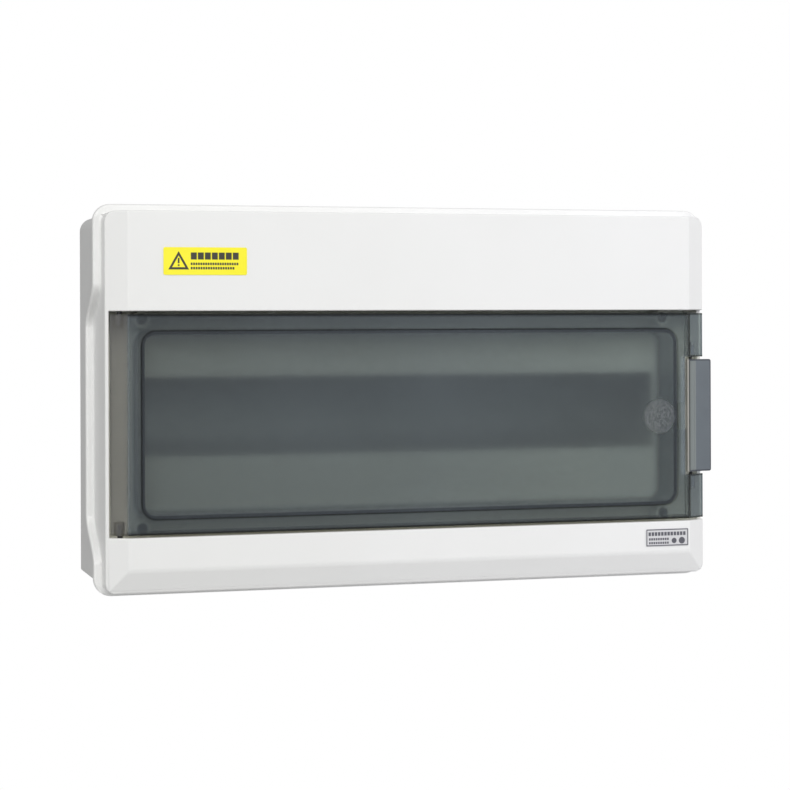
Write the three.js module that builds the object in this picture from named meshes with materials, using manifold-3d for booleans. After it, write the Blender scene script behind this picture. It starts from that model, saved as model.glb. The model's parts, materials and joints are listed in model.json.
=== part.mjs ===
// A wall-mounted plastic enclosure for a DC combiner: a hollow base, a cover with a module
// window, and a smoked door on vertical pins with a sprung edge latch.
// Millimetres. The origin is the middle of the wall face, +Z is up and the front faces -Y.
import * as THREE from 'three';
import { mergeVertices } from 'three/addons/utils/BufferGeometryUtils.js';
import Module from 'manifold-3d';

const wasm = await Module();
wasm.setup();

// ---- driving dimensions ----
const TOTAL_DEPTH = 108;
const GAP = 0.3; // between pieces that touch on the real object
const FAR = 400; // longer than the enclosure in every direction

// Cover block: the raised part in front of the lip.
const BLOCK_HALF_WIDTH = 181;
const BLOCK_HALF_HEIGHT = 107;
const BLOCK_CORNER = 6;
const COVER_WALL = 2.5;
const SIDE_CHAMFER_WIDTH = 12;
const SIDE_CHAMFER_DEPTH = 7;
const BOTTOM_CHAMFER_HEIGHT = 13.4;

// The lip round the cover, and the line where cover and base meet.
const LIP_WIDTH = 4.5; // at the top and at the sides
const LIP_BOTTOM_WIDTH = 2.6;
const LIP_THICKNESS = 4;
const LIP_CORNER = 10;
const PARTING_DEPTH = 24.4; // at the corners and along the long sides
const WAVE_DEPTH = 28.6; // how much further back the line runs beside the door
const WAVE_HALF_HEIGHT = 66.5;
const WAVE_BLEND = 26; // height over which the line sweeps back
const WAVE_STEPS = 12;

// Door bay: the recess that the door closes.
const BAY_TOP = 50.9;
const BAY_BOTTOM = -75.3;
const BAY_HALF_WIDTH = 178.8;
const BAY_DEPTH = 30;
const BAY_FLOOR = 2.5;
const BAY_RIGHT_DEPTH = 10.6; // the right wall of the bay starts this far back
const BAY_RIGHT_RELIEF = 4;

// Window for 18 modules of 17.5 mm, cut in the floor of the bay.
const WINDOW_WIDTH = 18 * 17.5;
const WINDOW_HEIGHT = 45.4;
const WINDOW_Z = -9.4;

// Door.
const DOOR_TOP = 49.1;
const DOOR_BOTTOM = -73.9;
const DOOR_Z = (DOOR_TOP + DOOR_BOTTOM) / 2;
const DOOR_LEFT = -178.4;
const DOOR_RIGHT = 180.8;
const DOOR_PLATE = 2.8;
const DOOR_SKIRT = 1.8;
const DOOR_SKIRT_DEPTH = 9;
const DOOR_SIDE_BEAD_DEPTH = 4; // the right edge has a low bead instead of a skirt
const RIB_HALF_WIDTH = 161.6;
const RIB_TOP = 39.9;
const RIB_BOTTOM = -65.4;
const RIB_CORNER = 8.5;
const RIB_THICKNESS = 2;
const RIB_DEPTH = 22.7;
const LOCK_MARK_X = 150;
const LOCK_MARK_RADIUS = 10.4;
const LOCK_MARK_HEIGHT = 0.5;
const LOCK_MARK_SIDES = 32;
const ROOT = 0.5; // how far joined pieces run into each other

// Door seal, on a low plinth round the window.
const SEAL_WIDTH = 3;
const PLINTH_WIDTH = 4.6;
const PLINTH_DEPTH = 27;

// Hinge: two vertical pins near the left edge of the door.
const HINGE_X = -173;
const HINGE_DEPTH = 6;
const HINGE_PIN_RADIUS = 1.5;
const HINGE_PIN_IN_DOOR = 6;
const HINGE_PIN_IN_COVER = 5.5;
const HINGE_KNUCKLE_RADIUS = 3.1;
const HINGE_BOSS_RADIUS = 4;
const BOSS_SETBACK = 1;
const BORE_END_WALL = 1.5;

// Latch: swings on a vertical pin between the two ears of the door's right edge.
const LATCH_PIVOT_X = 172;
const LATCH_PIVOT_DEPTH = 4.6;
const LATCH_PIN_RADIUS = 1;
const LATCH_BARREL_RADIUS = 2.4;
const LATCH_HALF_HEIGHT = 33.7;
const LATCH_NOTCH_HALF_HEIGHT = 35.3;
const LATCH_NOTCH_X = 166.4;
const LATCH_NOTCH_END = 20; // behind everything on the door but the rib
const LATCH_LEFT = 168.1;
const LATCH_FRONT = 0.2;
const LATCH_THICKNESS = 2.6;
const WING_BEND_X = 175.2; // where the wing flattens out beside the door
const WING_BEND_DEPTH = 4;
const WING_RIGHT = 186;
const WING_RIGHT_DEPTH = 5.6;
const WING_EDGE_CHAMFER = 0.5;
const WING_CORNER = 1.5; // seen from the front
const LEG_LEFT = 181.7; // the leg goes back along the outside of the cover
const LEG_THICKNESS = 2.5;
const LEG_END_DEPTH = 18.6;
const LEG_END_CHAMFER = 0.6;
const LEG_SETBACK = 4; // the leg is this much shorter than the wing at each end
const NOSE_TIP_X = 180.2;
const NOSE_FRONT_DEPTH = 15.2;
const NOSE_HEIGHT = 2.4;
const NOSE_HALF_HEIGHT = 10;
const TONGUE_LEFT = 162.4;
const TONGUE_FRONT_DEPTH = 3.3;
const TONGUE_THICKNESS = 2;
const TONGUE_HALF_HEIGHT = 8;
const CATCH_CHANNEL = 1.4;
const LATCH_PIN_IN_EAR = 7;
const EAR_END_WALL = 2;

// Cover screws, in four deep bosses in the corners of the bay.
const SCREW_X = 158.7;
const SCREW_TOP_Z = 46.3;
const SCREW_BOTTOM_Z = -71.5;
const SCREW_BOSS_RADIUS = 4.8;
const SCREW_BOSS_DEPTH = 16.3;
const SCREW_HEAD_DEPTH = 17.4;
const SCREW_HEAD_RADIUS = 3.1;
const SCREW_HEAD_HEIGHT = 2.4;
const SCREW_SHANK_RADIUS = 1.9;
const SCREW_END_DEPTH = 50;
const SCREW_HOLE_END = 54;
const SCREW_WELL_RADIUS = 3.4;
const POST_RADIUS = 5.5;
const POST_DEPTH = 36;
// Cross recess, as shares of the head's radius and height.
const RECESS_REACH = 0.62;
const RECESS_HALF_WIDTH = 0.13;
const RECESS_DEEP = 0.6;

// Base.
const BASE_HALF_WIDTH = 180.4;
const BASE_TOP = 107.2;
const BASE_BOTTOM = -104.5;
const BASE_TOP_CORNER = 8;
const BASE_BOTTOM_CORNER = 1.5;
const BASE_INNER_CORNER = 1; // at least this much on every inner outline
const BASE_WALL = 2.7;
const RIM_WIDTH = 5.2;
const RIM_DEPTH = 5;
const BASE_SEAL_WIDTH = 1.6;
const BASE_SEAL_HEIGHT = 2;
const BASE_SEAL_INSET = 1.8;
const WALL_HOLE_X = 150;
const WALL_HOLE_Z = 84;
const WALL_HOLE_RADIUS = 2.6;
const WALL_BOSS_RADIUS = 7;
const WALL_BOSS_HEIGHT = 4;
const PLUG_RADIUS = 5.4;
const PLUG_HEAD = 1.6;
const PLUG_SHANK = 5;
const KNOCKOUT_RADII = [8, 10.2, 12.7, 12.7, 10.2, 8];
const KNOCKOUT_SPACING = 52;
const KNOCKOUT_DEPTH = 84;
const KNOCKOUT_GROOVE = 0.9;
const KNOCKOUT_GROOVE_DEPTH = 1.6;
const KNOCKOUT_SIDES = 18;

// Rail: 35 mm top-hat section, on two supports.
const RAIL_LENGTH = 326;
const RAIL_HEIGHT = 35;
const RAIL_CROWN = 25;
const RAIL_PROJECTION = 7.5;
const RAIL_SHEET = 1;
const RAIL_FRONT_DEPTH = 79;
const RAIL_HOLE_RADIUS = 2.3;
const RAIL_SCREW_HEAD_RADIUS = 4.4;
const RAIL_SCREW_HEAD_HEIGHT = 2.2;
const RAIL_SCREW_SHANK_RADIUS = 1.8;
const RAIL_SCREW_REACH = 10; // past the back of the rail
const SUPPORT_X = 146;
const SUPPORT_WIDTH = 18;
const SUPPORT_HALF_HEIGHT = 15;
const SUPPORT_HALF_TOP = 11; // half height of the face that carries the rail
const SUPPORT_WALL = 4;
const SUPPORT_FOOT = 6;
const SUPPORT_POST_RADIUS = 4;
const SUPPORT_POST_LENGTH = 14;
const SUPPORT_HOLE_RADIUS = 2.1;

// Terminal bars: an earth bar above the rail and a negative bar below it.
const BAR_LENGTH = 92;
const BAR_HEIGHT = 7;
const BAR_THICKNESS = 8.5;
const BAR_FRONT_DEPTH = 88;
const BAR_HEIGHTS = { earth: 68, negative: -84 };
const BAR_SCREWS = 6;
const BAR_SCREW_HOLE_RADIUS = 2.3;
const BAR_SCREW_HOLE_DEPTH = 5.2;
const BAR_WIRE_HOLE_RADIUS = 2.1;
const BAR_WIRE_HOLE_SETBACK = 1.6; // behind the middle of the bar
const BAR_END_MARGIN = 4; // between a holder and the nearest screw
const BAR_HOLDER_WIDTH = 12;
const BAR_HOLDER_WALL = 3;
const BAR_HOLDER_SIDE = 2.4;
const TERMINAL_SCREW_RADIUS = 2;
const TERMINAL_SCREW_PROUD = 1.2;
const TERMINAL_SCREW_IN_BAR = 2.4;
const TERMINAL_SLOT_DEPTH = 1;
const TERMINAL_SLOT_HALF_WIDTH = 0.4;

// Stickers.
const STICKER_THICKNESS = 0.25;
const STICKER_LIFT = 0.1;
const STICKER_CORNER = 1;
const WARNING_STICKER = { left: -149.2, right: -101.6, bottom: 71.1, top: 86.6 };
const RATING_STICKER = { left: 140.6, right: 168.2, bottom: -90.2, top: -79.6 };

// ---- shapes and solids ----
const depthToY = (depth) => depth - TOTAL_DEPTH;

function toSolid(geometry) {
  const plain = geometry.clone();
  plain.deleteAttribute('normal');
  plain.deleteAttribute('uv');
  const merged = mergeVertices(plain, 1e-5);
  return new wasm.Manifold(new wasm.Mesh({
    numProp: 3,
    vertProperties: new Float32Array(merged.attributes.position.array),
    triVerts: new Uint32Array(merged.index.array),
  }));
}

function toGeometry(solid) {
  const mesh = solid.getMesh();
  const geometry = new THREE.BufferGeometry();
  geometry.setAttribute('position', new THREE.BufferAttribute(new Float32Array(mesh.vertProperties), 3));
  geometry.setIndex(new THREE.BufferAttribute(new Uint32Array(mesh.triVerts), 1));
  geometry.computeVertexNormals();
  return geometry;
}

const union = (solids) => solids.reduce((whole, next) => whole.add(next));
const cut = (body, tools) => tools.reduce((rest, tool) => rest.subtract(tool), body);

// A shape drawn in x and z, running along Y between two depths.
function prismAlongY(shape, frontDepth, backDepth, curveSegments = 6) {
  const geometry = new THREE.ExtrudeGeometry(shape, {
    depth: backDepth - frontDepth, bevelEnabled: false, curveSegments,
  });
  geometry.rotateX(Math.PI / 2);
  geometry.translate(0, depthToY(backDepth), 0);
  return toSolid(geometry);
}

// An outline of [x, depth] points, running up between two heights.
function prismAlongZ(outline, bottom, top) {
  const shape = new THREE.Shape(outline.map(([x, depth]) => new THREE.Vector2(x, depthToY(depth))));
  const geometry = new THREE.ExtrudeGeometry(shape, { depth: top - bottom, bevelEnabled: false });
  geometry.translate(0, 0, bottom);
  return toSolid(geometry);
}

// An outline of [depth, z] points, running along X between two places.
function prismAlongX(outline, left, right) {
  const shape = new THREE.Shape(outline.map(([depth, z]) => new THREE.Vector2(depthToY(depth), z)));
  const geometry = new THREE.ExtrudeGeometry(shape, { depth: right - left, bevelEnabled: false });
  geometry.applyMatrix4(new THREE.Matrix4().makeBasis(
    new THREE.Vector3(0, 1, 0), new THREE.Vector3(0, 0, 1), new THREE.Vector3(1, 0, 0)));
  geometry.translate(left, 0, 0);
  return toSolid(geometry);
}

function box(left, right, frontDepth, backDepth, bottom, top) {
  const geometry = new THREE.BoxGeometry(right - left, backDepth - frontDepth, top - bottom);
  geometry.translate((left + right) / 2, depthToY((frontDepth + backDepth) / 2), (bottom + top) / 2);
  return toSolid(geometry);
}

function cylinderAlongY(x, z, radius, frontDepth, backDepth, sides = 16) {
  const geometry = new THREE.CylinderGeometry(radius, radius, backDepth - frontDepth, sides);
  geometry.translate(x, depthToY((frontDepth + backDepth) / 2), z);
  return toSolid(geometry);
}

function cylinderAlongZ(x, depth, radius, bottom, top, sides = 14) {
  const geometry = new THREE.CylinderGeometry(radius, radius, top - bottom, sides);
  geometry.rotateX(Math.PI / 2);
  geometry.translate(x, depthToY(depth), (bottom + top) / 2);
  return toSolid(geometry);
}

// A rectangle with its own corner radius at the top and at the bottom.
function roundedRectangle(left, right, bottom, top, topCorner, bottomCorner = topCorner) {
  const shape = new THREE.Shape();
  shape.moveTo(left + bottomCorner, bottom);
  shape.lineTo(right - bottomCorner, bottom);
  shape.absarc(right - bottomCorner, bottom + bottomCorner, bottomCorner, -Math.PI / 2, 0);
  shape.lineTo(right, top - topCorner);
  shape.absarc(right - topCorner, top - topCorner, topCorner, 0, Math.PI / 2);
  shape.lineTo(left + topCorner, top);
  shape.absarc(left + topCorner, top - topCorner, topCorner, Math.PI / 2, Math.PI);
  shape.lineTo(left, bottom + bottomCorner);
  shape.absarc(left + bottomCorner, bottom + bottomCorner, bottomCorner, Math.PI, Math.PI * 1.5);
  return shape;
}

// ---- the wavy parting line ----
function partingDepth(z) {
  const inside = (WAVE_HALF_HEIGHT + WAVE_BLEND / 2 - Math.abs(z - DOOR_Z)) / WAVE_BLEND;
  return PARTING_DEPTH + WAVE_DEPTH * THREE.MathUtils.smoothstep(inside, 0, 1);
}

function partingHeights() {
  const heights = [];
  for (const side of [-1, 1]) {
    for (let step = 0; step <= WAVE_STEPS; step += 1) {
      const along = (step / WAVE_STEPS - 0.5) * WAVE_BLEND;
      heights.push(DOOR_Z + side * WAVE_HALF_HEIGHT + along);
    }
  }
  return heights;
}

// Everything that lies between two copies of the parting line, moved by front and back.
function waveSlab(front, back) {
  const heights = [-FAR, ...partingHeights(), FAR];
  const frontLine = heights.map((z) => [partingDepth(z) + front, z]);
  const backLine = heights.map((z) => [partingDepth(z) + back, z]);
  return prismAlongX([...backLine, ...frontLine.reverse()], -FAR, FAR);
}

// ---- cover ----
function blockSolid(inset) {
  const half = BLOCK_HALF_WIDTH - inset;
  const top = BLOCK_HALF_HEIGHT - inset;
  const front = prismAlongY(
    roundedRectangle(-half, half, -top, top, BLOCK_CORNER - inset), inset, FAR);
  const flat = half - SIDE_CHAMFER_WIDTH;
  const shoulder = SIDE_CHAMFER_DEPTH + inset;
  const sides = prismAlongZ(
    [[-half, FAR], [-half, shoulder], [-flat, inset], [flat, inset], [half, shoulder], [half, FAR]]
      .reverse(), -FAR, FAR);
  const underside = prismAlongX(
    [[inset, top], [inset, BOTTOM_CHAMFER_HEIGHT - top], [shoulder, -top], [FAR, -top], [FAR, top]],
    -FAR, FAR);
  return front.intersect(sides).intersect(underside);
}

function lipSolid() {
  const half = BLOCK_HALF_WIDTH + LIP_WIDTH;
  const top = BLOCK_HALF_HEIGHT + LIP_WIDTH;
  const bottom = -BLOCK_HALF_HEIGHT - LIP_BOTTOM_WIDTH;
  return prismAlongY(roundedRectangle(-half, half, bottom, top, LIP_CORNER), 0, FAR)
    .intersect(waveSlab(-LIP_THICKNESS, 0));
}

const screwPlaces = [-1, 1].flatMap((side) => [
  [side * SCREW_X, SCREW_TOP_Z], [side * SCREW_X, SCREW_BOTTOM_Z],
]);

function ringAlongRib(width, frontDepth, backDepth) {
  const middle = RIB_THICKNESS / 2;
  const outlineAt = (offset) => roundedRectangle(
    -RIB_HALF_WIDTH + middle - offset, RIB_HALF_WIDTH - middle + offset,
    RIB_BOTTOM + middle - offset, RIB_TOP - middle + offset, RIB_CORNER - middle + offset);
  return prismAlongY(outlineAt(width / 2), frontDepth, backDepth)
    .subtract(prismAlongY(outlineAt(-width / 2), frontDepth - 1, backDepth + 1));
}

// The boss in the cover that holds one hinge pin, seen from outside as a round end in the bay.
function hingeBoss(bottom, top) {
  return cylinderAlongZ(HINGE_X, HINGE_DEPTH + BOSS_SETBACK, HINGE_BOSS_RADIUS, bottom, top)
    .intersect(blockSolid(0));
}

function screwWell(x, z) {
  return [
    cylinderAlongY(x, z, SCREW_WELL_RADIUS, 0, SCREW_HEAD_DEPTH + SCREW_HEAD_HEIGHT + GAP),
    cylinderAlongY(x, z, SCREW_SHANK_RADIUS + GAP, 0, POST_DEPTH + 1),
  ];
}

function makeCover() {
  const shell = blockSolid(0).intersect(waveSlab(-FAR, 0)).add(lipSolid())
    .subtract(blockSolid(COVER_WALL));
  const tub = blockSolid(0).intersect(box(-FAR, FAR, 0, BAY_DEPTH + BAY_FLOOR,
    BAY_BOTTOM - COVER_WALL, BAY_TOP + COVER_WALL));
  const bay = box(-BAY_HALF_WIDTH, BAY_HALF_WIDTH, -1, BAY_DEPTH, BAY_BOTTOM, BAY_TOP);
  const bossReach = HINGE_PIN_IN_COVER + BORE_END_WALL;
  const solid = union([
    shell.add(tub).subtract(bay),
    ringAlongRib(PLINTH_WIDTH, PLINTH_DEPTH, BAY_DEPTH + ROOT),
    ...screwPlaces.map(([x, z]) =>
      cylinderAlongY(x, z, SCREW_BOSS_RADIUS, SCREW_BOSS_DEPTH, POST_DEPTH - GAP)),
    hingeBoss(BAY_TOP, BAY_TOP + bossReach),
    hingeBoss(BAY_BOTTOM - bossReach, BAY_BOTTOM),
  ]);
  return cut(solid, [
    box(-WINDOW_WIDTH / 2, WINDOW_WIDTH / 2, PLINTH_DEPTH, BAY_DEPTH + BAY_FLOOR + 1,
      WINDOW_Z - WINDOW_HEIGHT / 2, WINDOW_Z + WINDOW_HEIGHT / 2),
    // The right wall of the bay starts behind the ears and the latch of the door.
    box(BAY_HALF_WIDTH - BAY_RIGHT_RELIEF, FAR, -1, BAY_RIGHT_DEPTH, BAY_BOTTOM, BAY_TOP),
    // A shallow channel down the side, open to the front, for the nose of the latch.
    box(BLOCK_HALF_WIDTH - CATCH_CHANNEL, FAR, 0, LEG_END_DEPTH - GAP,
      DOOR_Z - NOSE_HALF_HEIGHT - 1, DOOR_Z + NOSE_HALF_HEIGHT + 1),
    cylinderAlongZ(HINGE_X, HINGE_DEPTH, HINGE_PIN_RADIUS + GAP,
      BAY_BOTTOM - HINGE_PIN_IN_COVER - GAP, BAY_TOP + HINGE_PIN_IN_COVER + GAP),
    ...screwPlaces.flatMap(([x, z]) => screwWell(x, z)),
  ]);
}

// ---- base ----
function baseOutline(inset) {
  return roundedRectangle(-BASE_HALF_WIDTH + inset, BASE_HALF_WIDTH - inset,
    BASE_BOTTOM + inset, BASE_TOP - inset,
    Math.max(BASE_TOP_CORNER - inset, BASE_INNER_CORNER),
    Math.max(BASE_BOTTOM_CORNER - inset, BASE_INNER_CORNER));
}

function baseRing(outerInset, innerInset, front, back) {
  return prismAlongY(baseOutline(outerInset), 0, TOTAL_DEPTH)
    .subtract(prismAlongY(baseOutline(innerInset), -1, TOTAL_DEPTH + 1))
    .intersect(waveSlab(front, back));
}

function knockoutGrooves() {
  const grooves = [];
  for (const [wall, sign] of [[BASE_TOP, 1], [BASE_BOTTOM, -1]]) {
    KNOCKOUT_RADII.forEach((radius, index) => {
      const x = (index - (KNOCKOUT_RADII.length - 1) / 2) * KNOCKOUT_SPACING;
      const inner = wall - sign * KNOCKOUT_GROOVE_DEPTH;
      const low = Math.min(inner, wall + sign);
      const high = Math.max(inner, wall + sign);
      grooves.push(
        cylinderAlongZ(x, KNOCKOUT_DEPTH, radius, low, high, KNOCKOUT_SIDES)
          .subtract(cylinderAlongZ(x, KNOCKOUT_DEPTH, radius - KNOCKOUT_GROOVE, low - 1, high + 1,
            KNOCKOUT_SIDES)));
    });
  }
  return grooves;
}

const wallHolePlaces = [-1, 1].flatMap((side) => [
  [side * WALL_HOLE_X, WALL_HOLE_Z], [side * WALL_HOLE_X, -WALL_HOLE_Z],
]);

function makeBase() {
  const back = TOTAL_DEPTH - BASE_WALL;
  const shell = prismAlongY(baseOutline(0), 0, TOTAL_DEPTH)
    .subtract(prismAlongY(baseOutline(BASE_WALL), -1, back))
    .intersect(waveSlab(GAP, FAR));
  const solid = union([
    shell,
    baseRing(0, RIM_WIDTH, GAP, RIM_DEPTH),
    ...screwPlaces.map(([x, z]) => cylinderAlongY(x, z, POST_RADIUS, POST_DEPTH, back + 1)),
    ...wallHolePlaces.map(([x, z]) =>
      cylinderAlongY(x, z, WALL_BOSS_RADIUS, back - WALL_BOSS_HEIGHT, back + 1)),
  ]);
  return cut(solid, [
    baseRing(BASE_SEAL_INSET - GAP, BASE_SEAL_INSET + BASE_SEAL_WIDTH + GAP, -1,
      BASE_SEAL_HEIGHT + GAP * 2),
    ...screwPlaces.map(([x, z]) =>
      cylinderAlongY(x, z, SCREW_SHANK_RADIUS + GAP, 0, SCREW_HOLE_END)),
    ...wallHolePlaces.map(([x, z]) =>
      cylinderAlongY(x, z, WALL_HOLE_RADIUS, back - WALL_BOSS_HEIGHT - 1, TOTAL_DEPTH + 1)),
    ...knockoutGrooves(),
  ]);
}

function makeBaseSeal() {
  return baseRing(BASE_SEAL_INSET, BASE_SEAL_INSET + BASE_SEAL_WIDTH, GAP, GAP + BASE_SEAL_HEIGHT);
}

// ---- door ----
const chamferAngle = Math.atan2(SIDE_CHAMFER_DEPTH, SIDE_CHAMFER_WIDTH);
const creaseX = BLOCK_HALF_WIDTH - SIDE_CHAMFER_WIDTH;
const chamferDepthAt = (x) => (Math.abs(x) - creaseX) * Math.tan(chamferAngle);

function doorPlate() {
  const offsetX = DOOR_PLATE * Math.sin(chamferAngle);
  const offsetDepth = DOOR_PLATE * Math.cos(chamferAngle);
  const innerCrease = creaseX - DOOR_PLATE * Math.tan(chamferAngle / 2);
  return prismAlongZ([
    [DOOR_LEFT, chamferDepthAt(DOOR_LEFT)],
    [DOOR_LEFT + offsetX, chamferDepthAt(DOOR_LEFT) + offsetDepth],
    [-innerCrease, DOOR_PLATE],
    [innerCrease, DOOR_PLATE],
    [DOOR_RIGHT - offsetX, chamferDepthAt(DOOR_RIGHT) + offsetDepth],
    [DOOR_RIGHT, chamferDepthAt(DOOR_RIGHT)],
    [creaseX, 0],
    [-creaseX, 0],
  ], DOOR_BOTTOM, DOOR_TOP);
}

// One of the two knuckles on the left edge, open at its outer end for the hinge pin.
function hingeKnuckle(bottom) {
  return cylinderAlongZ(HINGE_X, HINGE_DEPTH, HINGE_KNUCKLE_RADIUS,
    bottom, bottom + HINGE_PIN_IN_DOOR + BORE_END_WALL);
}

// The barrel behind an ear that holds one end of the latch pin.
function earBarrel(bottom) {
  return cylinderAlongZ(LATCH_PIVOT_X, LATCH_PIVOT_DEPTH, LATCH_BARREL_RADIUS,
    bottom, bottom + LATCH_PIN_IN_EAR + EAR_END_WALL);
}

function makeDoor() {
  const skirt = (bottom) => box(-creaseX, creaseX, 1, DOOR_SKIRT_DEPTH, bottom, bottom + DOOR_SKIRT);
  const notchTop = DOOR_Z + LATCH_NOTCH_HALF_HEIGHT;
  const notchBottom = DOOR_Z - LATCH_NOTCH_HALF_HEIGHT;
  const plateWithSkirts = union([
    doorPlate(), skirt(DOOR_BOTTOM), skirt(DOOR_TOP - DOOR_SKIRT),
    box(creaseX - DOOR_SKIRT, creaseX, 1, DOOR_SIDE_BEAD_DEPTH, DOOR_BOTTOM, DOOR_TOP),
    ringAlongRib(RIB_THICKNESS, DOOR_PLATE - ROOT, RIB_DEPTH),
    hingeKnuckle(DOOR_BOTTOM),
    hingeKnuckle(DOOR_TOP - HINGE_PIN_IN_DOOR - BORE_END_WALL),
    cylinderAlongY(LOCK_MARK_X, DOOR_Z, LOCK_MARK_RADIUS, DOOR_PLATE - ROOT,
      DOOR_PLATE + LOCK_MARK_HEIGHT, LOCK_MARK_SIDES),
  ]).subtract(box(LATCH_NOTCH_X, FAR, -1, LATCH_NOTCH_END, notchBottom, notchTop));
  const solid = union([
    plateWithSkirts,
    earBarrel(notchTop),
    earBarrel(notchBottom - LATCH_PIN_IN_EAR - EAR_END_WALL),
  ]);
  return cut(solid, [
    cylinderAlongZ(HINGE_X, HINGE_DEPTH, HINGE_PIN_RADIUS + GAP,
      DOOR_TOP - HINGE_PIN_IN_DOOR - GAP, FAR),
    cylinderAlongZ(HINGE_X, HINGE_DEPTH, HINGE_PIN_RADIUS + GAP,
      -FAR, DOOR_BOTTOM + HINGE_PIN_IN_DOOR + GAP),
    cylinderAlongZ(LATCH_PIVOT_X, LATCH_PIVOT_DEPTH, LATCH_PIN_RADIUS + GAP,
      notchBottom - LATCH_PIN_IN_EAR - GAP, notchTop + LATCH_PIN_IN_EAR + GAP),
  ]);
}

function makeHingePin(inDoor, inCover) {
  return cylinderAlongZ(HINGE_X, HINGE_DEPTH, HINGE_PIN_RADIUS,
    Math.min(inDoor, inCover), Math.max(inDoor, inCover));
}

function makeDoorSeal() {
  return ringAlongRib(SEAL_WIDTH, RIB_DEPTH + GAP, PLINTH_DEPTH - GAP);
}

// ---- latch ----
// The wing lies in the notch of the door and runs out past the side of the cover.
function latchWing(bottom, top) {
  const back = LATCH_FRONT + LATCH_THICKNESS;
  const edgeBack = WING_RIGHT_DEPTH + LATCH_THICKNESS;
  // Only the two corners on the free side are round.
  const outline = roundedRectangle(LATCH_LEFT - 2 * WING_CORNER, WING_RIGHT, bottom, top, WING_CORNER);
  return prismAlongZ([
    [LATCH_LEFT, LATCH_FRONT],
    [LATCH_LEFT, back],
    [WING_BEND_X - 1, WING_BEND_DEPTH + LATCH_THICKNESS],
    [WING_RIGHT - WING_EDGE_CHAMFER, edgeBack],
    [WING_RIGHT, edgeBack - WING_EDGE_CHAMFER],
    [WING_RIGHT, WING_RIGHT_DEPTH + WING_EDGE_CHAMFER],
    [WING_RIGHT - WING_EDGE_CHAMFER, WING_RIGHT_DEPTH],
    [WING_BEND_X, WING_BEND_DEPTH],
    [creaseX, LATCH_FRONT],
  ], bottom, top).intersect(prismAlongY(outline, -1, edgeBack + 1));
}

// The leg goes back beside the cover, with a nose that reaches into the catch channel.
function latchLeg(bottom, top) {
  const right = LEG_LEFT + LEG_THICKNESS;
  const leg = prismAlongZ([
    [LEG_LEFT, WING_RIGHT_DEPTH],
    [LEG_LEFT, LEG_END_DEPTH - LEG_END_CHAMFER],
    [LEG_LEFT + LEG_END_CHAMFER, LEG_END_DEPTH],
    [right - LEG_END_CHAMFER, LEG_END_DEPTH],
    [right, LEG_END_DEPTH - LEG_END_CHAMFER],
    [right, WING_RIGHT_DEPTH],
  ], bottom + LEG_SETBACK, top - LEG_SETBACK);
  const nose = prismAlongZ([
    [LEG_LEFT + GAP, NOSE_FRONT_DEPTH],
    [NOSE_TIP_X, NOSE_FRONT_DEPTH],
    [NOSE_TIP_X, NOSE_FRONT_DEPTH + 1],
    [LEG_LEFT + GAP, NOSE_FRONT_DEPTH + NOSE_HEIGHT],
  ], DOOR_Z - NOSE_HALF_HEIGHT, DOOR_Z + NOSE_HALF_HEIGHT);
  return leg.add(nose);
}

function makeLatch() {
  const bottom = DOOR_Z - LATCH_HALF_HEIGHT;
  const top = DOOR_Z + LATCH_HALF_HEIGHT;
  const tongue = box(TONGUE_LEFT, LATCH_PIVOT_X - 1, TONGUE_FRONT_DEPTH,
    TONGUE_FRONT_DEPTH + TONGUE_THICKNESS, DOOR_Z - TONGUE_HALF_HEIGHT, DOOR_Z + TONGUE_HALF_HEIGHT);
  return union([
    latchWing(bottom, top),
    latchLeg(bottom, top),
    cylinderAlongZ(LATCH_PIVOT_X, LATCH_PIVOT_DEPTH, LATCH_BARREL_RADIUS, bottom, top),
    tongue,
  ]).subtract(cylinderAlongZ(LATCH_PIVOT_X, LATCH_PIVOT_DEPTH, LATCH_PIN_RADIUS + GAP, -FAR, FAR));
}

function makeLatchPin() {
  const reach = LATCH_NOTCH_HALF_HEIGHT + LATCH_PIN_IN_EAR;
  return cylinderAlongZ(LATCH_PIVOT_X, LATCH_PIVOT_DEPTH, LATCH_PIN_RADIUS, DOOR_Z - reach, DOOR_Z + reach);
}

// ---- screws ----
// A pan-head screw along Y with a cross recess, its head towards the front.
function makeScrew({ x, z, headRadius, headHeight, shankRadius, headDepth, endDepth }) {
  const head = cylinderAlongY(x, z, headRadius, headDepth, headDepth + headHeight, 20);
  const shank = cylinderAlongY(x, z, shankRadius, headDepth + headHeight - ROOT, endDepth, 12);
  const reach = headRadius * RECESS_REACH;
  const half = headRadius * RECESS_HALF_WIDTH;
  const recessEnd = headDepth + headHeight * RECESS_DEEP;
  return cut(head.add(shank), [
    box(x - reach, x + reach, headDepth - 1, recessEnd, z - half, z + half),
    box(x - half, x + half, headDepth - 1, recessEnd, z - reach, z + reach),
  ]);
}

function makeCoverScrew(x, z) {
  return makeScrew({
    x,
    z,
    headRadius: SCREW_HEAD_RADIUS,
    headHeight: SCREW_HEAD_HEIGHT,
    shankRadius: SCREW_SHANK_RADIUS,
    headDepth: SCREW_HEAD_DEPTH,
    endDepth: SCREW_END_DEPTH,
  });
}

function makeRailScrew(x) {
  const railBack = RAIL_FRONT_DEPTH + RAIL_PROJECTION;
  return makeScrew({
    x,
    z: WINDOW_Z,
    headRadius: RAIL_SCREW_HEAD_RADIUS,
    headHeight: RAIL_SCREW_HEAD_HEIGHT,
    shankRadius: RAIL_SCREW_SHANK_RADIUS,
    headDepth: railBack - RAIL_SHEET - GAP - RAIL_SCREW_HEAD_HEIGHT,
    endDepth: railBack + RAIL_SCREW_REACH,
  });
}

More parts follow.
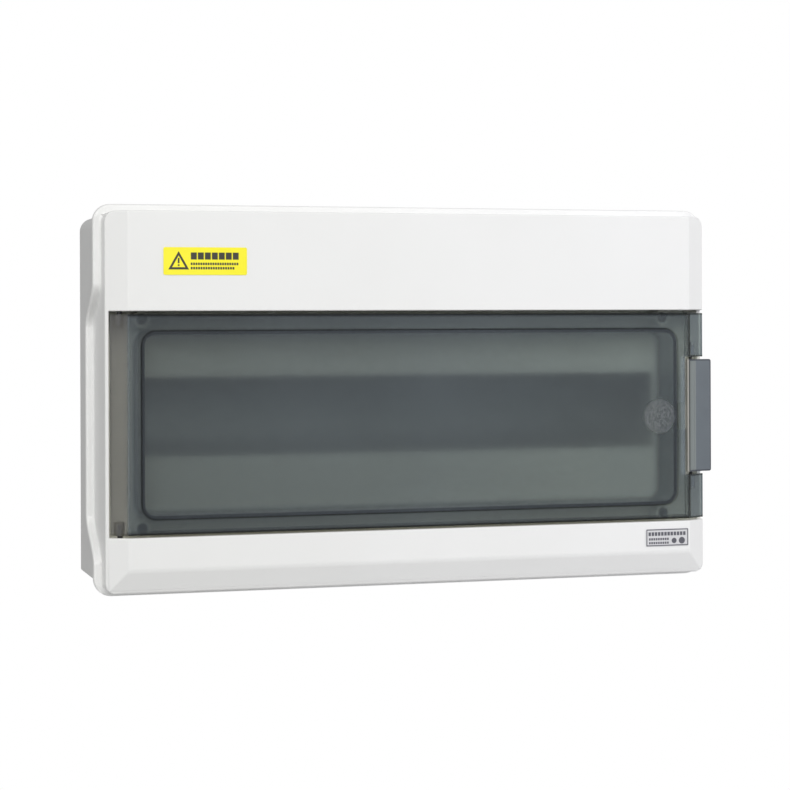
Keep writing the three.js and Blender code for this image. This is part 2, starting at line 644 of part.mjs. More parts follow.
// ---- rail and terminal bars ----
function makeRail() {
  const front = RAIL_FRONT_DEPTH;
  const back = front + RAIL_PROJECTION;
  // One half of the section from the middle of the crown to the edge of the brim.
  const outer = [[back, RAIL_CROWN / 2], [front + RAIL_SHEET, RAIL_CROWN / 2],
    [front + RAIL_SHEET, RAIL_HEIGHT / 2]];
  const inner = [[front, RAIL_HEIGHT / 2], [front, RAIL_CROWN / 2 - RAIL_SHEET],
    [back - RAIL_SHEET, RAIL_CROWN / 2 - RAIL_SHEET]];
  const upper = [...outer, ...inner];
  const lower = upper.map(([depth, z]) => [depth, -z]).reverse();
  const section = [...upper, ...lower].map(([depth, z]) => [depth, WINDOW_Z + z]);
  const holes = [-SUPPORT_X, SUPPORT_X].map((x) =>
    cylinderAlongY(x, WINDOW_Z, RAIL_HOLE_RADIUS, front, back + 1));
  return cut(prismAlongX(section, -RAIL_LENGTH / 2, RAIL_LENGTH / 2), holes);
}

// A bridge on two feet, with a screw post behind its middle.
function makeRailSupport(x) {
  const front = RAIL_FRONT_DEPTH + RAIL_PROJECTION + GAP;
  const back = TOTAL_DEPTH - BASE_WALL - GAP;
  const half = SUPPORT_HALF_HEIGHT;
  const inside = SUPPORT_HALF_TOP - SUPPORT_WALL - 1;
  const upper = [[front, SUPPORT_HALF_TOP], [back, half], [back, half - SUPPORT_FOOT],
    [front + SUPPORT_WALL, inside]];
  const lower = upper.map(([depth, z]) => [depth, -z]).reverse();
  const section = [...upper, ...lower].map(([depth, z]) => [depth, WINDOW_Z + z]);
  const bridge = prismAlongX(section, x - SUPPORT_WIDTH / 2, x + SUPPORT_WIDTH / 2);
  const post = cylinderAlongY(x, WINDOW_Z, SUPPORT_POST_RADIUS, front + 1, front + SUPPORT_POST_LENGTH);
  const hole = cylinderAlongY(x, WINDOW_Z, SUPPORT_HOLE_RADIUS, front - 1,
    front + RAIL_SCREW_REACH + GAP * 2);
  return bridge.add(post).subtract(hole);
}

function barScrewPlaces() {
  const length = BAR_LENGTH - 2 * (BAR_HOLDER_WIDTH + BAR_END_MARGIN);
  const pitch = length / (BAR_SCREWS - 1);
  return Array.from({ length: BAR_SCREWS }, (_, index) => (index - (BAR_SCREWS - 1) / 2) * pitch);
}

// A square bar with a wire hole through it behind each clamping screw.
function makeTerminalBar(z) {
  const half = BAR_HEIGHT / 2;
  const front = BAR_FRONT_DEPTH;
  const bar = box(-BAR_LENGTH / 2, BAR_LENGTH / 2, front, front + BAR_THICKNESS, z - half, z + half);
  const wireDepth = front + BAR_THICKNESS / 2 + BAR_WIRE_HOLE_SETBACK;
  return cut(bar, barScrewPlaces().flatMap((x) => [
    cylinderAlongY(x, z, BAR_SCREW_HOLE_RADIUS, front - 1, front + BAR_SCREW_HOLE_DEPTH, 12),
    cylinderAlongZ(x, wireDepth, BAR_WIRE_HOLE_RADIUS, z - half - 1, z + half + 1, 10),
  ]));
}

function makeTerminalScrew(x, z) {
  const front = BAR_FRONT_DEPTH - TERMINAL_SCREW_PROUD;
  const radius = TERMINAL_SCREW_RADIUS;
  return cylinderAlongY(x, z, radius, front, BAR_FRONT_DEPTH + TERMINAL_SCREW_IN_BAR, 12)
    .subtract(box(x - radius - 1, x + radius + 1, front - 1, front + TERMINAL_SLOT_DEPTH,
      z - TERMINAL_SLOT_HALF_WIDTH, z + TERMINAL_SLOT_HALF_WIDTH));
}

// A C-shaped holder that grips one end of a bar and stands on the back wall.
function makeBarHolder(side, z) {
  const outer = side * (BAR_LENGTH / 2 + BAR_HOLDER_WALL);
  const inner = side * (BAR_LENGTH / 2 + BAR_HOLDER_WALL - BAR_HOLDER_WIDTH);
  const half = BAR_HEIGHT / 2 + BAR_HOLDER_SIDE;
  const body = box(Math.min(outer, inner), Math.max(outer, inner), BAR_FRONT_DEPTH - 2,
    TOTAL_DEPTH - BASE_WALL - GAP, z - half, z + half);
  const pocketOuter = side * (BAR_LENGTH / 2 + GAP);
  const pocketInner = inner - side;
  const pocket = box(Math.min(pocketOuter, pocketInner), Math.max(pocketOuter, pocketInner),
    BAR_FRONT_DEPTH - GAP, BAR_FRONT_DEPTH + BAR_THICKNESS + GAP,
    z - BAR_HEIGHT / 2 - GAP, z + BAR_HEIGHT / 2 + GAP);
  return body.subtract(pocket);
}

// ---- small pieces ----
function makeWallHolePlug(x, z) {
  const seat = TOTAL_DEPTH - BASE_WALL - WALL_BOSS_HEIGHT - GAP;
  return cylinderAlongY(x, z, PLUG_RADIUS, seat - PLUG_HEAD, seat, 20)
    .add(cylinderAlongY(x, z, WALL_HOLE_RADIUS - GAP, seat - ROOT, seat + PLUG_SHANK));
}

function makeSticker({ left, right, bottom, top }) {
  return prismAlongY(roundedRectangle(left, right, bottom, top, STICKER_CORNER),
    -STICKER_LIFT - STICKER_THICKNESS, -STICKER_LIFT, 3);
}

// ---- assembly ----
const palette = {
  cover: { color: 0xe6e6e1, roughness: 0.45, metalness: 0 },
  base: { color: 0xdadad4, roughness: 0.5, metalness: 0 },
  door: { color: 0x5f665f, roughness: 0.2, metalness: 0 },
  latch: { color: 0x6a6f72, roughness: 0.3, metalness: 0 },
  seal: { color: 0x2b2b2b, roughness: 0.9, metalness: 0 },
  steel: { color: 0xb9bcbf, roughness: 0.35, metalness: 1 },
  blackSteel: { color: 0x2e3033, roughness: 0.5, metalness: 0.6 },
  brass: { color: 0xc9a14e, roughness: 0.35, metalness: 1 },
  support: { color: 0xc9cac4, roughness: 0.6, metalness: 0 },
  earth: { color: 0x2f7d3a, roughness: 0.5, metalness: 0 },
  negative: { color: 0x2553a0, roughness: 0.5, metalness: 0 },
  warning: { color: 0xf5e62c, roughness: 0.5, metalness: 0 },
  rating: { color: 0xededea, roughness: 0.5, metalness: 0 },
};

const enclosure = new THREE.Group();

function place(name, solid, finish) {
  const mesh = new THREE.Mesh(toGeometry(solid), new THREE.MeshStandardMaterial(palette[finish]));
  mesh.name = name;
  enclosure.add(mesh);
}

place('base', makeBase(), 'base');
place('base_seal', makeBaseSeal(), 'seal');
place('cover', makeCover(), 'cover');
place('door_seal', makeDoorSeal(), 'seal');
place('door', makeDoor(), 'door');
place('latch', makeLatch(), 'latch');
place('latch_pin', makeLatchPin(), 'steel');
place('hinge_pin_top', makeHingePin(DOOR_TOP - HINGE_PIN_IN_DOOR, BAY_TOP + HINGE_PIN_IN_COVER), 'steel');
place('hinge_pin_bottom',
  makeHingePin(DOOR_BOTTOM + HINGE_PIN_IN_DOOR, BAY_BOTTOM - HINGE_PIN_IN_COVER), 'steel');

screwPlaces.forEach(([x, z], index) => {
  place(`cover_screw_${index + 1}`, makeCoverScrew(x, z), 'blackSteel');
});
wallHolePlaces.forEach(([x, z], index) => {
  place(`wall_hole_plug_${index + 1}`, makeWallHolePlug(x, z), 'cover');
});

place('din_rail', makeRail(), 'steel');
for (const [side, label] of [[-1, 'left'], [1, 'right']]) {
  place(`rail_support_${label}`, makeRailSupport(side * SUPPORT_X), 'support');
  place(`rail_screw_${label}`, makeRailScrew(side * SUPPORT_X), 'steel');
}

for (const [bar, z] of Object.entries(BAR_HEIGHTS)) {
  place(`${bar}_bar`, makeTerminalBar(z), 'brass');
  place(`${bar}_bar_holder_left`, makeBarHolder(-1, z), bar);
  place(`${bar}_bar_holder_right`, makeBarHolder(1, z), bar);
  barScrewPlaces().forEach((x, index) => {
    place(`${bar}_terminal_screw_${index + 1}`, makeTerminalScrew(x, z), 'steel');
  });
}

place('warning_sticker', makeSticker(WARNING_STICKER), 'warning');
place('rating_sticker', makeSticker(RATING_STICKER), 'rating');

export default enclosure;
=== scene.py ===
"""Looks for the DC combiner box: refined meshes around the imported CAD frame, with procedural
plastic, smoked polycarbonate, metal and sticker materials. Metres, in the frame of the part."""

import json
import math

import bmesh
import bpy
from mathutils import Matrix, Vector

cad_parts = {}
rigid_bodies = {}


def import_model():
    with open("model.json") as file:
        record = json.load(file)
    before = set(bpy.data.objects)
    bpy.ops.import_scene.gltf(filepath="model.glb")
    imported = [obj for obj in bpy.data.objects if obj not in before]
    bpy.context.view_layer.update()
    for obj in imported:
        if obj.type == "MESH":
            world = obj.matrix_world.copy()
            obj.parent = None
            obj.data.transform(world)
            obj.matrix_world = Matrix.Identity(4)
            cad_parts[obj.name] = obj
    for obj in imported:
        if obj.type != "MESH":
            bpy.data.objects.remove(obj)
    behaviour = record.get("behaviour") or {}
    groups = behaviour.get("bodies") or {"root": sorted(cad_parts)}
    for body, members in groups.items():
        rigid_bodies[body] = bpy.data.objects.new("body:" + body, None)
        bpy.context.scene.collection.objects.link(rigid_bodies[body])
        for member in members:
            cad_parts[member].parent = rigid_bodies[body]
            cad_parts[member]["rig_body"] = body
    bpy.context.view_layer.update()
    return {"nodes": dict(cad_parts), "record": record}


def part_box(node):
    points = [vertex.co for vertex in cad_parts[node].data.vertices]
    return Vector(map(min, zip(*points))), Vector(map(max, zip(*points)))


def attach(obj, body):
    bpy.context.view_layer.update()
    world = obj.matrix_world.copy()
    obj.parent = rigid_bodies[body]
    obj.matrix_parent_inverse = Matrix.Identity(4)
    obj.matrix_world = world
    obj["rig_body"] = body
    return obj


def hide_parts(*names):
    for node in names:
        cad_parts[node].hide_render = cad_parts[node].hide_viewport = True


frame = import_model()

MM = 0.001
NODES = frame["nodes"]

# widths over which one zone of a material turns into the next
EDGE_BLUR = 0.2 * MM
FINE_BLUR = 0.3 * MM
NARROW_BLUR = 0.4 * MM
SOFT_BLUR = 0.6 * MM
WIDE_BLUR = 0.8 * MM

# ---- camera, light and floor ----
CAMERA_PLACE = (-0.3616, -1.2829, 0.0449)
CAMERA_YAW = math.radians(16.45)
CAMERA_ROLL = math.radians(-0.2)
CAMERA_LENS = 97.06
CAMERA_SENSOR_WIDTH = 36
CAMERA_SHIFT_Y = -0.0936
CAMERA_CLIP_START = 0.05

# name: (place, width, height, watts), each aimed at the middle of the wall face
LIGHTS = {
    "front_light": ((-0.6, -2.1, 0.9), 1.6, 0.9, 35.5),
    "high_right_light": ((1.9, -1.2, 0.9), 1.0, 1.0, 21),
    "right_light": ((2.0, -1.0, 0.2), 0.9, 1.4, 1.5),
    "left_light": ((-1.9, -1.2, 0.5), 1.0, 1.4, 1.5),
    "side_light": ((-1.6, -0.2, 0.6), 1.0, 1.4, 8),
    "top_light": ((0, -0.5, 1.6), 1.8, 1.2, 3),
}
SURROUND_COLOUR = (1, 1, 1)
ROOM_COLOUR = (0.98, 0.99, 1.0)
ROOM_STRENGTH = 0.18

FLOOR_COLOUR = (0.85, 0.85, 0.85)
FLOOR_ROUGHNESS = 0.9
FLOOR_Z = -0.62
FLOOR_HALF = 3
FLOOR_SOLID_RADIUS = 0.8
FLOOR_FADED_RADIUS = 1.45

# ---- shapes that the finish depends on ----
BLOCK_HALF_WIDTH = 181 * MM
BLOCK_HALF_HEIGHT = 107 * MM
FRONT_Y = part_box("cover")[0][1]
SHOULDER_Y = FRONT_Y + 7 * MM
LIP_FRONT_Y = FRONT_Y + 18 * MM  # nothing of the lip is in front of this
CREASE_X = 169 * MM
BOTTOM_CREASE_Z = -93.6 * MM

DOOR_LOW, DOOR_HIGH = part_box("door")
DOOR_MIDDLE_Z = (DOOR_LOW[2] + DOOR_HIGH[2]) / 2
DOOR_HALF_HEIGHT = (DOOR_HIGH[2] - DOOR_LOW[2]) / 2
NOTCH_HALF_HEIGHT = 35.3 * MM
NOTCH_X = 166.4 * MM
RIB_HALF_WIDTH = 161.6 * MM
RIB_TOP = 39.9 * MM
RIB_BOTTOM = -65.4 * MM
RIB_CORNER = 8.5 * MM
LOCK_PLACE = (150 * MM, DOOR_MIDDLE_Z)
LOCK_RADIUS = 10.4 * MM

LATCH_LOW, LATCH_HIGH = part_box("latch")
LATCH_RIGHT = LATCH_HIGH[0]
LATCH_HALF_HEIGHT = (LATCH_HIGH[2] - LATCH_LOW[2]) / 2
LATCH_EDGE_X = 169.2 * MM
WING_BEND_X = 175.2 * MM

# ---- the door's plastic ----
POLYCARBONATE_IOR = 1.585
CLEAR_TINT = (0.66, 0.77, 0.90)
WRAP_TINT = (0.70, 0.713, 0.80)
LOCK_TINT = (0.68, 0.73, 0.84)
DOOR_SMOKE = (0.315, 0.285, 0.09)
DOOR_SMOKE_DENSITY = 275
DOOR_SHADOW = 0.95

# The door's tint is painted darker towards the hinges and the bottom: painted shade.
CLEARNESS_WITH_PAINTED_SHADE = (0.64, 0.72, 0.97)  # at the hinges, in the middle and at the latch
PAINTED_SHADE_CLEARNESS_AT_BOTTOM = 0.82  # as a share of the clearness at the top
CLEARNESS_SPECKLE = 0.04
CLEARNESS_IN_SHADE_LINES = 0.45

# The veil is partly the milky plastic and partly a painted reflection, strongest in the middle.
HAZE_AND_PAINTED_REFLECTION = (0.048, 0.074, 0.056)  # at the hinges, in the middle and at the latch
HAZE_CLOUDS = 0.006
HAZE_OF_HINGE_MARGIN = 0.02
HAZE_OF_LATCH_MARGIN = 0.08
# a painted highlight along the door's left crease
PAINTED_HIGHLIGHT_ON_LEFT_CREASE = 0.05
HAZE_OF_EAR = 0.07
HAZE_OF_LOCK = (-0.02, 0.09)  # between its granules and on them
HAZE_IN_SHADE_LINES = 0.2

DOOR_ROUGHNESS = (0.18, 0.22)
FROST_ROUGHNESS = 0.045  # this and the next two add to the door's own
WRAP_ROUGHNESS = 0.16
LOCK_ROUGHNESS = 0.1

# Widths and places of the lines of painted shade, and of the painted highlight on the left crease.
RIB_LINE = 0.9 * MM
RIB_LINE_OFFSET = -0.4 * MM
FROST_INSET = 2.3 * MM
MARGIN_INSET = 2 * MM  # from the rib to the clear margins beside it
LEFT_CREASE_HIGHLIGHT = (-0.3 * MM, 0.5 * MM)  # from the crease
RIGHT_CREASE_LINE = (-0.2 * MM, 0.9 * MM)
NOTCH_LINE = 0.8 * MM
OUTER_LINE = 0.9 * MM

# ---- the latch's plastic ----
LATCH_TRANSMISSION = 0.3
LATCH_TINTS = ((0.178, 0.202, 0.232), (0.195, 0.224, 0.252))
# painted light on the sloped strip beside the door
LATCH_SLOPE_PAINTED_LIGHT = (0.29, 0.32, 0.32)
# painted shade along the line near the left edge
LATCH_LINE_PAINTED_SHADE = (0.05, 0.055, 0.06)
# painted shade round the rim
LATCH_RIM_PAINTED_SHADE = (0.09, 0.10, 0.12)
# painted light on the pale left edge
LATCH_EDGE_PAINTED_LIGHT = (0.48, 0.47, 0.43)
LATCH_SMOKE = (0.30, 0.36, 0.40)
LATCH_SMOKE_DENSITY = 500
LATCH_SHADOW = 0.9
LATCH_RIM = 0.9 * MM
LATCH_EDGE_LINE = 0.9 * MM

# ---- what is printed on the stickers ----
WARNING_LOW, WARNING_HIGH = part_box("warning_sticker")
TRIANGLE_MIDDLE = 8.6 * MM  # from the sticker's left edge
TRIANGLE_OUTER = (3.0 * MM, 13.3 * MM, 5.9 * MM)  # foot and tip from the bottom edge, and half width
TRIANGLE_INNER = (4.3 * MM, 10.8 * MM, 3.75 * MM)
STROKE_HALF_WIDTH = 0.5 * MM
STROKE = (6.5 * MM, 9.5 * MM)  # from the bottom edge
STROKE_DOT = (5.0 * MM, 5.9 * MM)
WARNING_TEXT_LEFT = 15.4 * MM
# each row of blocks: gap to the right edge, bottom and top from the bottom edge, count, filled share
WARNING_ROWS = (
    (4.3 * MM, 8.6 * MM, 12.6 * MM, 7, 0.88),
    (4.7 * MM, 5.5 * MM, 6.9 * MM, 20, 0.78),
    (7.0 * MM, 3.1 * MM, 4.5 * MM, 18, 0.78),
)

RATING_LOW, RATING_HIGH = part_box("rating_sticker")
RATING_INSET = 0.3 * MM
RATING_LINE = 0.6 * MM
# each row of blocks: gaps to the left and right edges, bottom and top from the top edge, count, filled
RATING_ROWS = (
    (1.6 * MM, 1.6 * MM, 4.2 * MM, 2.0 * MM, 12, 0.8),
    (1.9 * MM, 12.6 * MM, 6.9 * MM, 5.5 * MM, 9, 0.78),
    (1.9 * MM, 12.6 * MM, 9.1 * MM, 7.8 * MM, 9, 0.78),
)
RATING_DISC_DROP = 7.3 * MM  # from the top edge
RATING_DISCS = ((9.4 * MM, 1.6 * MM), (4.4 * MM, 2.0 * MM))  # from the right edge, and the radius

# ---- edge rounding ----
LIP_ROUNDING = 1.5 * MM
FILLET = 1.5 * MM
TOP_FILLET = 0.3 * MM
BOTTOM_FILLET = 0.9 * MM
UNDERSIDE_ROUNDING = 1.2 * MM
BOTTOM_CREASE_ROUNDING = 1.6 * MM
BLOCK_ROUNDING = 0.8 * MM
BASE_ROUNDING = 0.6 * MM
DOOR_ROUNDING = 0.35 * MM
LATCH_ROUNDING = 0.5 * MM
SMALL_ROUNDING = 0.12 * MM
LIMITED_BELOW = 0.7 * MM  # smaller roundings give way where edges are close together
SEGMENTS = 4
SMALL_SEGMENTS = 2

# angles between faces
FLAT_ANGLE = math.radians(0.6)
ROUNDED_ANGLE = math.radians(24)
SHARP_ANGLE = math.radians(35)
MERGE_DISTANCE = 1e-6

# where the edges of the cover are, as cover_rounding tells them apart
LIP_BEYOND = 1.2 * MM  # the lip's edges are further out than this from the block
LIP_ROOT_BEYOND = -2 * MM
LEANING_FORWARD = -0.3  # the y of a face's normal
FACING_FORWARD = -0.8
NEAR = 0.2 * MM
SHOULDER_REACH = 0.5 * MM


def make_camera():
    camera = bpy.data.objects.new("camera", bpy.data.cameras.new("camera"))
    bpy.context.scene.collection.objects.link(camera)
    turn = (
        Matrix.Rotation(-CAMERA_YAW, 4, "Z")
        @ Matrix.Rotation(math.pi / 2, 4, "X")
        @ Matrix.Rotation(CAMERA_ROLL, 4, "Z")
    )
    camera.matrix_world = Matrix.Translation(CAMERA_PLACE) @ turn
    camera.data.sensor_width = CAMERA_SENSOR_WIDTH
    camera.data.lens = CAMERA_LENS
    camera.data.shift_y = CAMERA_SHIFT_Y
    camera.data.clip_start = CAMERA_CLIP_START
    bpy.context.scene.camera = camera


def make_lights():
    for name, (place, width, height, watts) in LIGHTS.items():
        light = bpy.data.lights.new(name, "AREA")
        light.shape = "RECTANGLE"
        light.size = width
        light.size_y = height
        light.energy = watts
        lamp = bpy.data.objects.new(name, light)
        bpy.context.scene.collection.objects.link(lamp)
        lamp.location = place
        lamp.rotation_euler = (-Vector(place)).to_track_quat("-Z", "Y").to_euler()


def make_world():
    """A white surround for the camera and a dimmer even room for everything else."""
    world = bpy.data.worlds.new("studio")
    bpy.context.scene.world = world
    world.use_nodes = True
    tree = world.node_tree
    tree.nodes.clear()
    seen = tree.nodes.new("ShaderNodeBackground")
    seen.inputs["Color"].default_value = (*SURROUND_COLOUR, 1)
    room = tree.nodes.new("ShaderNodeBackground")
    room.inputs["Color"].default_value = (*ROOM_COLOUR, 1)
    room.inputs["Strength"].default_value = ROOM_STRENGTH
    path = tree.nodes.new("ShaderNodeLightPath")
    mix = tree.nodes.new("ShaderNodeMixShader")
    output = tree.nodes.new("ShaderNodeOutputWorld")
    tree.links.new(path.outputs["Is Camera Ray"], mix.inputs[0])
    tree.links.new(room.outputs[0], mix.inputs[1])
    tree.links.new(seen.outputs[0], mix.inputs[2])
    tree.links.new(mix.outputs[0], output.inputs["Surface"])


# ---- material building ----
class Shading:
    """A short way to write one material's node tree."""

    def __init__(self, name):
        self.material = bpy.data.materials.new(name)
        self.material.use_nodes = True
        self.tree = self.material.node_tree
        self.shader = self.tree.nodes["Principled BSDF"]
        self.output = self.tree.nodes["Material Output"]
        self.place = self.tree.nodes.new("ShaderNodeTexCoord").outputs["Object"]
        split = self.tree.nodes.new("ShaderNodeSeparateXYZ")
        self.link(self.place, split.inputs[0])
        self.x, self.y, self.z = split.outputs

    def set(self, **values):
        for key, value in values.items():
            self.shader.inputs[key.replace("_", " ")].default_value = value

    def feed(self, socket, value):
        self.link(value, self.shader.inputs[socket])

    def node(self, kind, **settings):
        made = self.tree.nodes.new(kind)
        for key, value in settings.items():
            setattr(made, key, value)
        return made

    def link(self, source, target):
        self.tree.links.new(source, target)

    def noise(self, scale, detail=2, roughness=0.5, stretch=None):
        made = self.node("ShaderNodeTexNoise")
        made.inputs["Scale"].default_value = scale
        made.inputs["Detail"].default_value = detail
        made.inputs["Roughness"].default_value = roughness
        self.link(self.stretched(stretch) if stretch else self.place, made.inputs["Vector"])
        return made.outputs["Fac"]

    def varied(self, scale, detail, low=0.0, high=1.0, roughness=0.5):
        """A noise that is spread over low to high."""
        return self.span(self.noise(scale, detail, roughness), 0.3, 0.7, low, high)

    def stretched(self, scales):
        mapping = self.node("ShaderNodeMapping")
        mapping.inputs["Scale"].default_value = scales
        self.link(self.place, mapping.inputs["Vector"])
        return mapping.outputs["Vector"]

    def math(self, operation, first, second=0.0, clamp=False):
        made = self.node("ShaderNodeMath", operation=operation, use_clamp=clamp)
        for socket, value in zip(made.inputs, (first, second)):
            if isinstance(value, (int, float)):
                socket.default_value = value
            else:
                self.link(value, socket)
        return made.outputs[0]

    def times(self, *values):
        total = values[0]
        for value in values[1:]:
            total = self.math("MULTIPLY", total, value)
        return total

    def plus(self, *values):
        total = values[0]
        for value in values[1:]:
            total = self.math("ADD", total, value)
        return total

    def largest(self, *values):
        most = values[0]
        for value in values[1:]:
            most = self.math("MAXIMUM", most, value)
        return most

    def off(self, axis, middle):
        """The distance from a plane across an axis."""
        return self.math("ABSOLUTE", self.math("SUBTRACT", axis, middle))

    def span(self, value, low, high, to_low=0.0, to_high=1.0, smooth=False):
        """Takes a value from low..high to to_low..to_high, and holds it there."""
        made = self.node("ShaderNodeMapRange")
        if smooth:
            made.interpolation_type = "SMOOTHSTEP"
        for key, number in (("From Min", low), ("From Max", high), ("To Min", to_low), ("To Max", to_high)):
            made.inputs[key].default_value = number
        self.link(value, made.inputs["Value"])
        return made.outputs["Result"]

    def colours(self, factor, low, high):
        """Mixes two colours. Each is three numbers or another mix."""
        made = self.node("ShaderNodeMix", data_type="RGBA")
        self.link(factor, made.inputs["Factor"])
        for socket, colour in ((made.inputs["A"], low), (made.inputs["B"], high)):
            if isinstance(colour, tuple):
                socket.default_value = (*colour, 1)
            else:
                self.link(colour, socket)
        return made.outputs["Result"]

    def bump(self, height, distance, strength=1.0, after=None):
        made = self.node("ShaderNodeBump")
        made.inputs["Distance"].default_value = distance
        made.inputs["Strength"].default_value = strength
        self.link(height, made.inputs["Height"])
        if after is not None:
            self.link(after, made.inputs["Normal"])
        return made.outputs["Normal"]

    def within(self, axis, low, high, blur=EDGE_BLUR):
        """1 where low < axis < high, with an edge that is blur wide."""
        away = self.off(axis, (low + high) / 2)
        half = (high - low) / 2
        return self.span(away, half - blur / 2, half + blur / 2, 1, 0)

    def rectangle(self, left, right, bottom, top, blur=EDGE_BLUR):
        return self.times(self.within(self.x, left, right, blur), self.within(self.z, bottom, top, blur))

    def rounded(self, left, right, bottom, top, corner, blur):
        """1 inside a rectangle with round corners, seen from the front."""
        reach = []
        for axis, low, high in ((self.x, left, right), (self.z, bottom, top)):
            away = self.off(axis, (low + high) / 2)
            reach.append(self.largest(self.math("SUBTRACT", away, (high - low) / 2 - corner), 0.0))
        distance = self.math("SQRT", self.plus(*(self.times(part, part) for part in reach)))
        return self.span(distance, corner - blur / 2, corner + blur / 2, 1, 0)

    def disc(self, x, z, radius, blur=EDGE_BLUR):
        """1 inside a circle, seen from the front."""
        dx = self.math("SUBTRACT", self.x, x)
        dz = self.math("SUBTRACT", self.z, z)
        distance = self.math("SQRT", self.plus(self.times(dx, dx), self.times(dz, dz)))
        return self.span(distance, radius - blur / 2, radius + blur / 2, 1, 0)


def make_floor():
    """A pale floor that fades out into the white surround."""
    mesh = bpy.data.meshes.new("floor")
    sides = ((-1, -1), (1, -1), (1, 1), (-1, 1))
    corners = [(x * FLOOR_HALF, y * FLOOR_HALF, FLOOR_Z) for x, y in sides]
    mesh.from_pydata(corners, [], [(0, 1, 2, 3)])
    floor = bpy.data.objects.new("floor", mesh)
    bpy.context.scene.collection.objects.link(floor)
    s = Shading("floor_paint")
    s.set(Base_Color=(*FLOOR_COLOUR, 1), Roughness=FLOOR_ROUGHNESS)
    radius = s.math("SQRT", s.plus(s.times(s.x, s.x), s.times(s.y, s.y)))
    s.feed("Alpha", s.span(radius, FLOOR_SOLID_RADIUS, FLOOR_FADED_RADIUS, 1, 0, smooth=True))
    mesh.materials.append(s.material)


def moulded_plastic(name, low, high, roughness, painted_light_sideways=0.0):
    """Satin moulded plastic: a fine spark-eroded grain and a slow drift of tone and gloss.
    painted_light_sideways is how much of the tone drift runs lighter from left to right, which is
    painted light; the rest is a cloudy tone of the plastic."""
    s = Shading(name)
    s.set(IOR=1.5)
    cloudy = s.varied(14, 3, 0, 1 - painted_light_sideways)
    # the share that grows lighter from left to right is painted light
    drift = s.plus(cloudy, s.span(s.x, -BLOCK_HALF_WIDTH, BLOCK_HALF_WIDTH, 0, painted_light_sideways))
    s.feed("Base Color", s.colours(drift, low, high))
    smear = s.noise(60, 4, 0.6)
    s.feed("Roughness", s.span(smear, 0.2, 0.8, roughness - 0.05, roughness + 0.07))
    soft = s.bump(s.noise(25, 1), 0.12 * MM, 0.5)
    s.feed("Normal", s.bump(s.noise(900, 2, 0.6), 0.02 * MM, 0.6, soft))
    return s.material


def rubber(name):
    s = Shading(name)
    s.feed("Base Color", s.colours(s.noise(120, 3), (0.016, 0.016, 0.017), (0.03, 0.03, 0.032)))
    s.feed("Roughness", s.varied(300, 4, 0.75, 0.95))
    s.feed("Normal", s.bump(s.noise(1200, 2), 0.06 * MM))
    return s.material


def plated_metal(name, low, high, roughness, stretch):
    """Plated or drawn metal with fine lines along its length and a blotchy gloss."""
    s = Shading(name)
    s.set(Metallic=1)
    s.feed("Base Color", s.colours(s.varied(90, 4, roughness=0.65), low, high))
    lines = s.noise(400, 3, 0.6, stretch)
    s.feed("Roughness", s.span(lines, 0.2, 0.8, roughness - 0.08, roughness + 0.12))
    s.feed("Normal", s.bump(lines, 0.01 * MM, 0.6))
    return s.material


def blackened_steel(name):
    s = Shading(name)
    s.set(Metallic=0.7)
    s.feed("Base Color", s.colours(s.noise(200, 4), (0.02, 0.02, 0.022), (0.05, 0.05, 0.053)))
    s.feed("Roughness", s.varied(500, 3, 0.4, 0.6))
    s.feed("Normal", s.bump(s.noise(800, 2), 0.02 * MM, 0.6))
    return s.material


def finish_smoked(s, shadow, smoke, density):
    """Smoked plastic: it dims the light of the lamps to shadow, and absorbs what is seen through it."""
    clear = s.node("ShaderNodeBsdfTransparent")
    clear.inputs["Color"].default_value = (shadow, shadow, shadow, 1)
    path = s.node("ShaderNodeLightPath")
    mix = s.node("ShaderNodeMixShader")
    s.link(path.outputs["Is Shadow Ray"], mix.inputs[0])
    s.link(s.shader.outputs[0], mix.inputs[1])
    s.link(clear.outputs[0], mix.inputs[2])
    s.link(mix.outputs[0], s.output.inputs["Surface"])
    absorption = s.node("ShaderNodeVolumeAbsorption")
    absorption.inputs["Color"].default_value = (*smoke, 1)
    absorption.inputs["Density"].default_value = density
    s.link(absorption.outputs[0], s.output.inputs["Volume"])
    return s.material


def across_door(s, hinges, middle, latch):
    """A value that goes evenly from the hinges to the middle, and from there to the latch."""
    return s.plus(
        s.span(s.x, -RIB_HALF_WIDTH, 0, hinges, middle),
        s.span(s.x, 0, RIB_HALF_WIDTH, 0, latch - middle))


def rib_outline(s, offset, blur):
    """1 inside the rib of the door, moved outwards by offset."""
    return s.rounded(
        -RIB_HALF_WIDTH - offset, RIB_HALF_WIDTH + offset, RIB_BOTTOM - offset, RIB_TOP + offset,
        RIB_CORNER + offset, blur)


def beyond_right_crease(s):
    """1 on the door's ears, above and below the latch."""
    line_end = CREASE_X + RIGHT_CREASE_LINE[1]
    return s.span(s.x, line_end, line_end + SOFT_BLUR)


def door_painted_shade_lines(s):
    """Painted shade: 1 along the rib, the right crease, the notch round the latch and the top and bottom
    edges.
    """
    outside = rib_outline(s, RIB_LINE_OFFSET + RIB_LINE, NARROW_BLUR)
    inside = rib_outline(s, RIB_LINE_OFFSET, NARROW_BLUR)
    right_crease = s.within(s.x, CREASE_X + RIGHT_CREASE_LINE[0], CREASE_X + RIGHT_CREASE_LINE[1])
    from_middle = s.off(s.z, DOOR_MIDDLE_Z)
    notch_end = NOTCH_HALF_HEIGHT + NOTCH_LINE
    outer_start = DOOR_HALF_HEIGHT - OUTER_LINE
    return s.largest(
        s.math("SUBTRACT", outside, inside, clamp=True),
        right_crease,
        s.times(beyond_right_crease(s), s.span(from_middle, notch_end + FINE_BLUR, notch_end)),
        s.span(from_middle, outer_start - FINE_BLUR, outer_start),
    )


